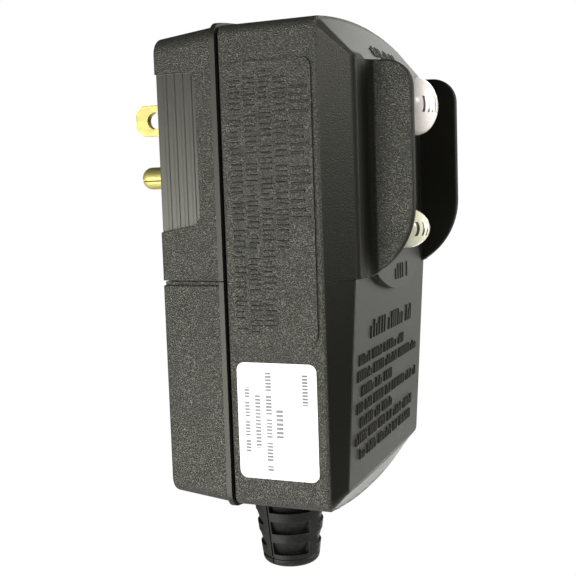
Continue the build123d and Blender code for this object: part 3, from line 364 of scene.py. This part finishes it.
def caseMasks(tree, look, zones):
    axes = partAxes(tree)
    masks = {name: zone(tree, axes, limits) for name, limits in zones.items()}
    true = node(tree, "SeparateXYZ", {0: node(tree, "NewGeometry").outputs["True Normal"]})
    across, along = (maths(tree, "ABSOLUTE", true.outputs[k]) for k in ("X", "Y"))
    rims = together(tree, masks["rims"], spread(tree, along, *look["facing"], 0.0, 1.0))
    # Painted shadow of the guards on the plate strip beside them.
    margin = maths(tree, "MULTIPLY", masks["margin"], look["marginShadow"])
    # Painted shade on the chamfers, darker towards the bottom.
    foot = together(tree, masks["foot"], spread(tree, axes["Z"], *look["footShadeFade"], 0.0, look["footShade"]))
    # Bar tops darkened at half strength and the leaning bar flanks on panel and plate darkened: painted shade
    # of the relief.
    raised = maths(tree, "MULTIPLY", masks["raised"], look["raised"])
    panelReliefShade = together(tree, masks["panel"], spread(tree, across, *look["leaning"], 0.0, 1.0))
    plateReliefShade = together(tree, masks["plate"], spread(tree, along, *look["leaning"], 0.0, 1.0))
    masks["sharp"] = largest(tree, masks["front"], masks["panel"])
    masks["smooth"] = largest(tree, masks["seam"], masks["grip"], masks["inner"], rims)
    # Painted shade on the guards' inner faces, their front rims and the strip beside them; dark adds the
    # chamfers' painted shade.
    masks["shaded"] = largest(tree, masks["inner"], rims, margin)
    masks["dark"] = largest(tree, masks["shaded"], foot)
    masks["reliefShade"] = largest(tree, raised, panelReliefShade, plateReliefShade)
    return masks


def caseBlack(look, zones):
    mat, tree, skin = newMaterial("case_black")
    masks = caseMasks(tree, look, zones)
    front, smooth, reliefShade = masks["front"], masks["smooth"], masks["reliefShade"]
    grain = use(tree, "grain", Size=look["grain"], Roll=look["grain"] * look["roll"])
    width = spread(tree, masks["sharp"], 0.0, 1.0, look["edge"], look["sharpEdge"])
    edges = use(tree, "edges", Width=width, Patchy=look["patchy"])
    fine = largest(tree, smooth, maths(tree, "MULTIPLY", front, look["frontPits"]))
    pits = mixValue(tree, fine, spread(tree, grain["Speckle"], *look["pits"], 0.0, 1.0), look["evenPits"])
    base = mixColour(tree, pits, look["deep"], look["colour"])
    base = mixColour(tree, front, base, mixColour(tree, pits, look["deep"], look["frontColour"]))
    base = mixColour(tree, smooth, base, look["smooth"])
    rubbed = spread(tree, front, 0.0, 1.0, look["rubbed"], look["frontRubbed"])
    base = mixColour(tree, together(tree, edges["Mask"], rubbed), base, look["rub"])
    # Painted shade: darkened guards, strip beside them and lower chamfers.
    base = mixColour(tree, masks["dark"], base, look["shaded"])
    # Painted shade on the moulded bars' flanks and tops.
    base = mixColour(tree, reliefShade, base, look["reliefShade"])
    tree.links.new(base, skin.inputs["Base Color"])
    hollows = maths(tree, "MULTIPLY", maths(tree, "SUBTRACT", 1.0, pits), look["pitRough"])
    rough = maths(tree, "ADD", spread(tree, grain["Drift"], *drifts, *look["rough"]), hollows)
    rough = mixValue(tree, smooth, rough, look["smoothRough"])
    rough = mixValue(tree, front, rough, look["frontRough"])
    seam = maths(tree, "MULTIPLY", masks["seam"], look["seamWorn"])
    worn = largest(tree, edges["Mask"], reliefShade, seam, masks["shaded"])
    tree.links.new(mixValue(tree, worn, rough, look["edgeRough"]), skin.inputs["Roughness"])
    skin.inputs["Specular Tint"].default_value = (*look["sheen"], 1)
    # Less shine where the shade is painted, so that these faces reflect less.
    shine = spread(tree, masks["dark"], 0.0, 1.0, look["shine"], look["shadedShine"])
    tree.links.new(shine, skin.inputs["Specular IOR Level"])
    strength = spread(tree, front, 0.0, 1.0, look["bump"], look["frontBump"])
    strength = mixValue(tree, smooth, strength, look["smoothBump"])
    normal = bumpFrom(tree, grain["Height"], strength, look["height"], edges["Normal"])
    tree.links.new(normal, skin.inputs["Normal"])
    return mat


# Plain mouldings, coatings and sintered bodies.
plasticKinds = {
    # slot: colour, in the pits, at rubbed edges; low and high roughness, grain, bump, edge in mm, shine
    "frame_grey": ((0.35, 0.35, 0.34), (0.26, 0.26, 0.25), (0.5, 0.5, 0.48),
                   (0.4, 0.55), 0.3, 0.2, 0.2, 0.5),
    "block_ivory": ((0.62, 0.60, 0.52), (0.5, 0.47, 0.4), (0.75, 0.73, 0.66),
                    (0.35, 0.5), 0.3, 0.15, 0.2, 0.5),
    "grommet_black": ((0.012, 0.012, 0.011), (0.007, 0.007, 0.006), (0.05, 0.05, 0.04),
                      (0.42, 0.56), 0.6, 0.2, 0.3, 0.2),
    "button_white": ((0.84, 0.78, 0.74), (0.79, 0.73, 0.69), (0.88, 0.83, 0.80),
                     (0.2, 0.32), 0.6, 0.05, 0.3, 0.5),
    "button_cream": ((0.80, 0.78, 0.58), (0.73, 0.71, 0.51), (0.84, 0.82, 0.66),
                     (0.22, 0.34), 0.6, 0.05, 0.3, 0.5),
    "component_dark": ((0.035, 0.035, 0.037), (0.02, 0.02, 0.022), (0.09, 0.09, 0.09),
                       (0.35, 0.5), 0.25, 0.2, 0.15, 0.5),
    "component_yellow": ((0.72, 0.5, 0.09), (0.6, 0.4, 0.06), (0.85, 0.66, 0.2),
                         (0.3, 0.42), 0.4, 0.1, 0.2, 0.5),
    "component_blue": ((0.06, 0.14, 0.42), (0.04, 0.1, 0.3), (0.12, 0.22, 0.5),
                       (0.18, 0.3), 0.8, 0.15, 0.3, 0.5),
    "component_tan": ((0.6, 0.47, 0.3), (0.5, 0.38, 0.22), (0.7, 0.58, 0.42),
                      (0.3, 0.45), 0.3, 0.12, 0.15, 0.5),
    "ferrite_dark": ((0.09, 0.09, 0.095), (0.05, 0.05, 0.055), (0.2, 0.2, 0.21),
                     (0.35, 0.55), 0.2, 0.4, 0.25, 0.5),
}


plasticShared = {"roll": 16, "patchy": 0.4, "pits": (0.35, 0.62), "rubbed": 0.6, "height": 0.03}


def plastic(slot, colour, deep, rub, rough, grainSize, bump, edge, shine):
    mat, tree, skin = newMaterial(slot)
    shared = plasticShared
    grain = use(tree, "grain", Size=grainSize, Roll=grainSize * shared["roll"])
    edges = use(tree, "edges", Width=edge, Patchy=shared["patchy"])
    pits = spread(tree, grain["Speckle"], *shared["pits"], 0.0, 1.0)
    base = mixColour(tree, pits, deep, colour)
    base = mixColour(tree, maths(tree, "MULTIPLY", edges["Mask"], shared["rubbed"]), base, rub)
    tree.links.new(base, skin.inputs["Base Color"])
    tree.links.new(spread(tree, grain["Drift"], *drifts, *rough), skin.inputs["Roughness"])
    skin.inputs["Specular IOR Level"].default_value = shine
    normal = bumpFrom(tree, grain["Height"], bump, shared["height"], edges["Normal"])
    tree.links.new(normal, skin.inputs["Normal"])
    return mat, tree, skin, base


# Metals: colour, tarnished colour, low and high roughness, direction the lines run in, line width in mm.
metalKinds = {
    "blade_brass": ((0.56, 0.50, 0.19), (0.48, 0.42, 0.15), (0.58, 0.68), (0.12, 0.08, 1.0), 0.25),
    "steel_zinc": ((0.66, 0.66, 0.67), (0.45, 0.45, 0.46), (0.22, 0.42), (1.0, 0.1, 1.0), 0.25),
    "spring_steel": ((0.52, 0.52, 0.53), (0.32, 0.31, 0.30), (0.2, 0.36), (1.0, 1.0, 0.2), 0.12),
    "contact_silver": ((0.80, 0.79, 0.76), (0.55, 0.52, 0.46), (0.2, 0.38), (1.0, 1.0, 1.0), 0.3),
    "copper_winding": ((0.62, 0.25, 0.10), (0.32, 0.10, 0.04), (0.22, 0.34), (0.05, 1.0, 0.05), 0.28),
}


metalShared = {"edge": 0.15, "patchy": 0.5, "clouds": (0.42, 0.68), "rubbed": 0.5,
               "bump": 0.25, "height": 0.02}


def metal(slot, colour, tarnish, rough, stretch, size):
    mat, tree, skin = newMaterial(slot)
    lines = use(tree, "lines", Stretch=stretch, Size=size)
    shared = metalShared
    edges = use(tree, "edges", Width=shared["edge"], Patchy=shared["patchy"])
    dull = spread(tree, lines["Tarnish"], *shared["clouds"], 0.0, 1.0)
    base = mixColour(tree, dull, colour, tarnish)
    base = mixColour(tree, maths(tree, "MULTIPLY", edges["Mask"], shared["rubbed"]), base, colour)
    tree.links.new(base, skin.inputs["Base Color"])
    skin.inputs["Metallic"].default_value = 1.0
    tree.links.new(spread(tree, dull, 0.0, 1.0, *rough), skin.inputs["Roughness"])
    normal = bumpFrom(tree, lines["Height"], shared["bump"], shared["height"], edges["Normal"])
    tree.links.new(normal, skin.inputs["Normal"])
    return mat


# Printed plain marks: a row of short bars across each button.
markLook = {
    "button_white": {"z": (-1.5, 1.5), "bars": (-4.2, -3.15, -2.1, -1.05, 0.0, 1.05, 2.1, 3.15, 4.2),
                     "half": 0.18, "ink": (0.05, 0.04, 0.04)},
    "button_cream": {"z": (-25.3, -22.6), "bars": (-2.85, -1.9, -0.95, 0.0, 0.95, 1.9, 2.85),
                     "half": 0.16, "ink": (0.04, 0.04, 0.03)},
}
markDepth = (42.0, 60.0)    # only on the domes
markSoft = 0.06
buttonCoat = {"weight": 0.35, "rough": 0.12}


def markedButton(slot):
    mat, tree, skin, base = plastic(slot, *plasticKinds[slot])
    look = markLook[slot]
    axes = partAxes(tree)
    half = look["half"]
    ink = largest(tree, *(band(tree, axes["X"], x - half, x + half, markSoft) for x in look["bars"]))
    tall = band(tree, axes["Z"], *look["z"], markSoft)
    ink = together(tree, ink, tall, band(tree, axes["Depth"], *markDepth))
    tree.links.new(mixColour(tree, ink, base, look["ink"]), skin.inputs["Base Color"])
    skin.inputs["Coat Weight"].default_value = buttonCoat["weight"]
    skin.inputs["Coat Roughness"].default_value = buttonCoat["rough"]
    return mat


# Sticker: satin white with plain rows of ticks.
labelLook = {
    "paper": (0.59, 0.59, 0.59), "fibre": (0.55, 0.55, 0.54), "ink": (0.03, 0.03, 0.03),
    "grain": 0.25, "roll": 6.0, "rough": (0.3, 0.42), "bump": 0.12, "height": 0.01,
    # depth, lowest, highest, half width, pitch of the ticks, pitch of their groups
    "ticks": ((17.0, -63.8, -51.4, 0.45, 0.6, 3.6), (19.1, -62.7, -52.6, 0.5, 0.65, 40.0),
              (21.3, -67.0, -48.6, 0.55, 0.62, 4.4), (23.4, -60.6, -55.3, 0.65, 0.8, 40.0),
              (28.5, -54.4, -48.8, 0.5, 0.6, 40.0)),
    "soft": 0.05, "share": (0.15, 0.65, 0.1), "groupShare": (0.2, 1.0, 0.02),
}


def tickRow(tree, axes, look, depth, low, high, half, pitch, group):
    place = maths(tree, "FRACT", maths(tree, "DIVIDE", axes["Z"], pitch))
    grouped = maths(tree, "FRACT", maths(tree, "DIVIDE", axes["Z"], group))
    return together(tree, band(tree, axes["Depth"], depth - half, depth + half, look["soft"]),
                    band(tree, axes["Z"], low, high, look["soft"]), band(tree, place, *look["share"]),
                    band(tree, grouped, *look["groupShare"]))


def labelWhite(look):
    mat, tree, skin = newMaterial("label_white")
    axes = partAxes(tree)
    grain = use(tree, "grain", Size=look["grain"], Roll=look["roll"])
    weave = spread(tree, grain["Speckle"], *speckles, 0.0, 1.0)
    base = mixColour(tree, weave, look["fibre"], look["paper"])
    ink = largest(tree, *(tickRow(tree, axes, look, *row) for row in look["ticks"]))
    tree.links.new(mixColour(tree, ink, base, look["ink"]), skin.inputs["Base Color"])
    tree.links.new(spread(tree, grain["Drift"], *speckles, *look["rough"]), skin.inputs["Roughness"])
    tree.links.new(bumpFrom(tree, grain["Height"], look["bump"], look["height"]), skin.inputs["Normal"])
    return mat


# Light pipe: clear red with fine flow marks.
lensLook = {"deep": (0.55, 0.10, 0.07), "pale": (0.8, 0.2, 0.14), "clear": 0.6, "grain": 0.5, "roll": 4.0,
            "rough": (0.08, 0.22), "bump": 0.1, "height": 0.02}


def lensClear(look):
    mat, tree, skin = newMaterial("lens_clear")
    grain = use(tree, "grain", Size=look["grain"], Roll=look["roll"])
    flow = spread(tree, grain["Drift"], *drifts, 0.0, 1.0)
    tree.links.new(mixColour(tree, flow, look["deep"], look["pale"]), skin.inputs["Base Color"])
    skin.inputs["Transmission Weight"].default_value = look["clear"]
    tree.links.new(spread(tree, grain["Speckle"], *speckles, *look["rough"]), skin.inputs["Roughness"])
    tree.links.new(bumpFrom(tree, grain["Height"], look["bump"], look["height"]), skin.inputs["Normal"])
    return mat


# Circuit board: green mask with paler tracks under it.
boardLook = {"mask": (0.02, 0.11, 0.04), "pale": (0.03, 0.16, 0.06), "track": (0.07, 0.28, 0.10),
             "edge": (0.45, 0.42, 0.26), "grain": 0.35, "roll": 9.0, "cells": 210.0, "rough": (0.22, 0.38),
             "bump": 0.5, "height": 0.03, "grainShare": 0.15, "edgeWidth": 0.15, "patchy": 0.5,
             "gaps": (0.10, 0.14)}


def boardGreen(look):
    mat, tree, skin = newMaterial("board_green")
    grain = use(tree, "grain", Size=look["grain"], Roll=look["roll"])
    edges = use(tree, "edges", Width=look["edgeWidth"], Patchy=look["patchy"])
    at = node(tree, "TexCoord").outputs["Object"]
    cells = node(tree, "TexVoronoi", {"Vector": at, "Scale": look["cells"]}, feature="DISTANCE_TO_EDGE")
    track = spread(tree, cells.outputs["Distance"], *look["gaps"], 1.0, 0.0)
    base = mixColour(tree, spread(tree, grain["Drift"], *drifts, 0.0, 1.0), look["mask"], look["pale"])
    base = mixColour(tree, track, base, look["track"])
    base = mixColour(tree, edges["Mask"], base, look["edge"])
    tree.links.new(base, skin.inputs["Base Color"])
    tree.links.new(spread(tree, grain["Speckle"], *speckles, *look["rough"]), skin.inputs["Roughness"])
    height = maths(tree, "ADD", maths(tree, "MULTIPLY", grain["Height"], look["grainShare"]), track)
    normal = bumpFrom(tree, height, look["bump"], look["height"], edges["Normal"])
    tree.links.new(normal, skin.inputs["Normal"])
    return mat


finishes = {slot: plastic(slot, *look)[0] for slot, look in plasticKinds.items() if slot not in markLook}
finishes.update({slot: metal(slot, *look) for slot, look in metalKinds.items()})
finishes.update({slot: markedButton(slot) for slot in markLook})
finishes["case_black"] = caseBlack(caseLook, caseZones)
finishes["label_white"] = labelWhite(labelLook)
finishes["lens_clear"] = lensClear(lensLook)
finishes["board_green"] = boardGreen(boardLook)
for obj in nodes.values():
    for holder in obj.material_slots:
        holder.material = finishes[holder.material.name.split(".")[0]]
print("materials built:", len(finishes))


# Rows of small raised bars, moulded with the case.
barGroup = (3, 8)
barCuts = (0.0, 0.0, 0.0, 0.28)    # how much of a bar's height is missing
barSteps = (0.85, 1.0, 1.0, 1.15)


def barRows(rows, stroke, pitch, seed):
    dice = random.Random(seed)
    bars = []
    for low, high, start, end in rows:
        at = start
        while at + stroke < end:
            for i in range(dice.randint(*barGroup)):
                if at + stroke > end:
                    break
                cut = dice.choice(barCuts)
                bars.append((at, at + stroke, low, high - cut * (high - low)))
                at += pitch * dice.choice(barSteps)
            at += pitch
    return bars


def addBars(name, bars, origin, along, up, raised, draft=0.15, sunk=0.12):
    along, up, origin = Vector(along), Vector(up), Vector(origin)
    out = along.cross(up).normalized()
    points, faces = [], []
    for a0, a1, b0, b1 in bars:
        first = len(points)
        for level, inset in ((-sunk, 0.0), (raised, draft)):
            corners = ((a0 + inset, b0 + inset), (a1 - inset, b0 + inset), (a1 - inset, b1 - inset),
                       (a0 + inset, b1 - inset))
            points += [(origin + along * a + up * b + out * level) * mm for a, b in corners]
        faces.append([first + 4 + i for i in range(4)])
        faces.append([first + 3 - i for i in range(4)])
        for i in range(4):
            j = (i + 1) % 4
            faces.append([first + i, first + j, first + 4 + j, first + 4 + i])
    mesh = bpy.data.meshes.new(name)
    mesh.from_pydata(points, [], faces)
    mesh.materials.append(finishes["case_black"])
    piece = bpy.data.objects.new(name, mesh)
    bpy.context.scene.collection.objects.link(piece)
    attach(piece, "case")
    return piece


panelBars = {
    # depth from, depth to, start and end down the panel in mm below the blade line
    "head": ((27.2, 30.9, -2.6, 21.6),),
    "rows": ((24.3, 26.6, -4.4, 26.6), (21.4, 23.7, -5.6, 41.6), (18.5, 20.8, -4.6, 41.6),
             (15.6, 17.9, -4.2, 41.4)),
    "plane": 28.45, "raised": 0.145, "stroke": 0.42, "pitch": 0.95, "headStroke": 0.6, "headPitch": 1.4,
    "seed": 5, "headSeed": 3,
}


def addPanelBars(name, side, look):
    bars = barRows(look["head"], look["headStroke"], look["headPitch"], look["headSeed"])
    bars += barRows(look["rows"], look["stroke"], look["pitch"], look["seed"])
    if side < 0:
        return addBars(name, bars, (-look["plane"], 0, 0), (0, 0, -1), (0, -1, 0), look["raised"])
    flipped = [(-a1, -a0, b0, b1) for a0, a1, b0, b1 in bars]
    return addBars(name, flipped, (look["plane"], 0, 0), (0, 0, 1), (0, -1, 0), look["raised"])


plateBars = {
    # below the step: low and high edge down the plate, start and end across it
    "head": ((-12.2, -8.6, -15.0, 16.0),),
    "rows": ((-16.4, -14.2, -21.5, 9.5), (-19.4, -17.2, -22.0, 21.6), (-22.5, -20.3, -19.4, 1.0),
             (-25.5, -23.3, -21.8, 20.6), (-28.5, -26.3, -19.5, 1.9), (-31.4, -29.2, -22.0, 18.5),
             (-34.6, -32.4, -19.2, 18.7)),
    "top": (0, -37.6, -31.8), "foot": (0, -35.1, -71.0), "raised": 0.32,
    "stroke": 0.5, "pitch": 1.15, "headStroke": 0.7, "headPitch": 1.7, "seed": 12, "headSeed": 11,
}


def addPlateBars(name, look):
    bars = barRows(look["head"], look["headStroke"], look["headPitch"], look["headSeed"])
    bars += barRows(look["rows"], look["stroke"], look["pitch"], look["seed"])
    up = (Vector(look["top"]) - Vector(look["foot"])).normalized()
    return addBars(name, bars, look["top"], (1, 0, 0), up, look["raised"])


padBars = {"rows": ((-33.8, -30.6, -4.4, 4.6),), "face": 39.0, "raised": 0.25, "stroke": 0.6, "pitch": 1.5,
           "seed": 21}


def addPadBars(name, look):
    bars = barRows(look["rows"], look["stroke"], look["pitch"], look["seed"])
    return addBars(name, bars, (0, -look["face"], 0), (1, 0, 0), (0, 0, 1), look["raised"])


slopeBars = {"rows": ((2.2, 5.2, -8.6, 8.8),), "foot": (0, -38.5, 7.2), "head": (0, -32.2, 16.0),
             "raised": 0.25, "stroke": 0.6, "pitch": 1.15, "seed": 31}


def addSlopeBars(name, look):
    bars = barRows(look["rows"], look["stroke"], look["pitch"], look["seed"])
    up = (Vector(look["head"]) - Vector(look["foot"])).normalized()
    return addBars(name, bars, look["foot"], (1, 0, 0), up, look["raised"])


addPanelBars("leftPanelBars", -1, panelBars)
addPanelBars("rightPanelBars", 1, panelBars)
addPlateBars("frontPlateBars", plateBars)
addPadBars("padBars", padBars)
addSlopeBars("slopeBars", slopeBars)
print("moulded bars added")
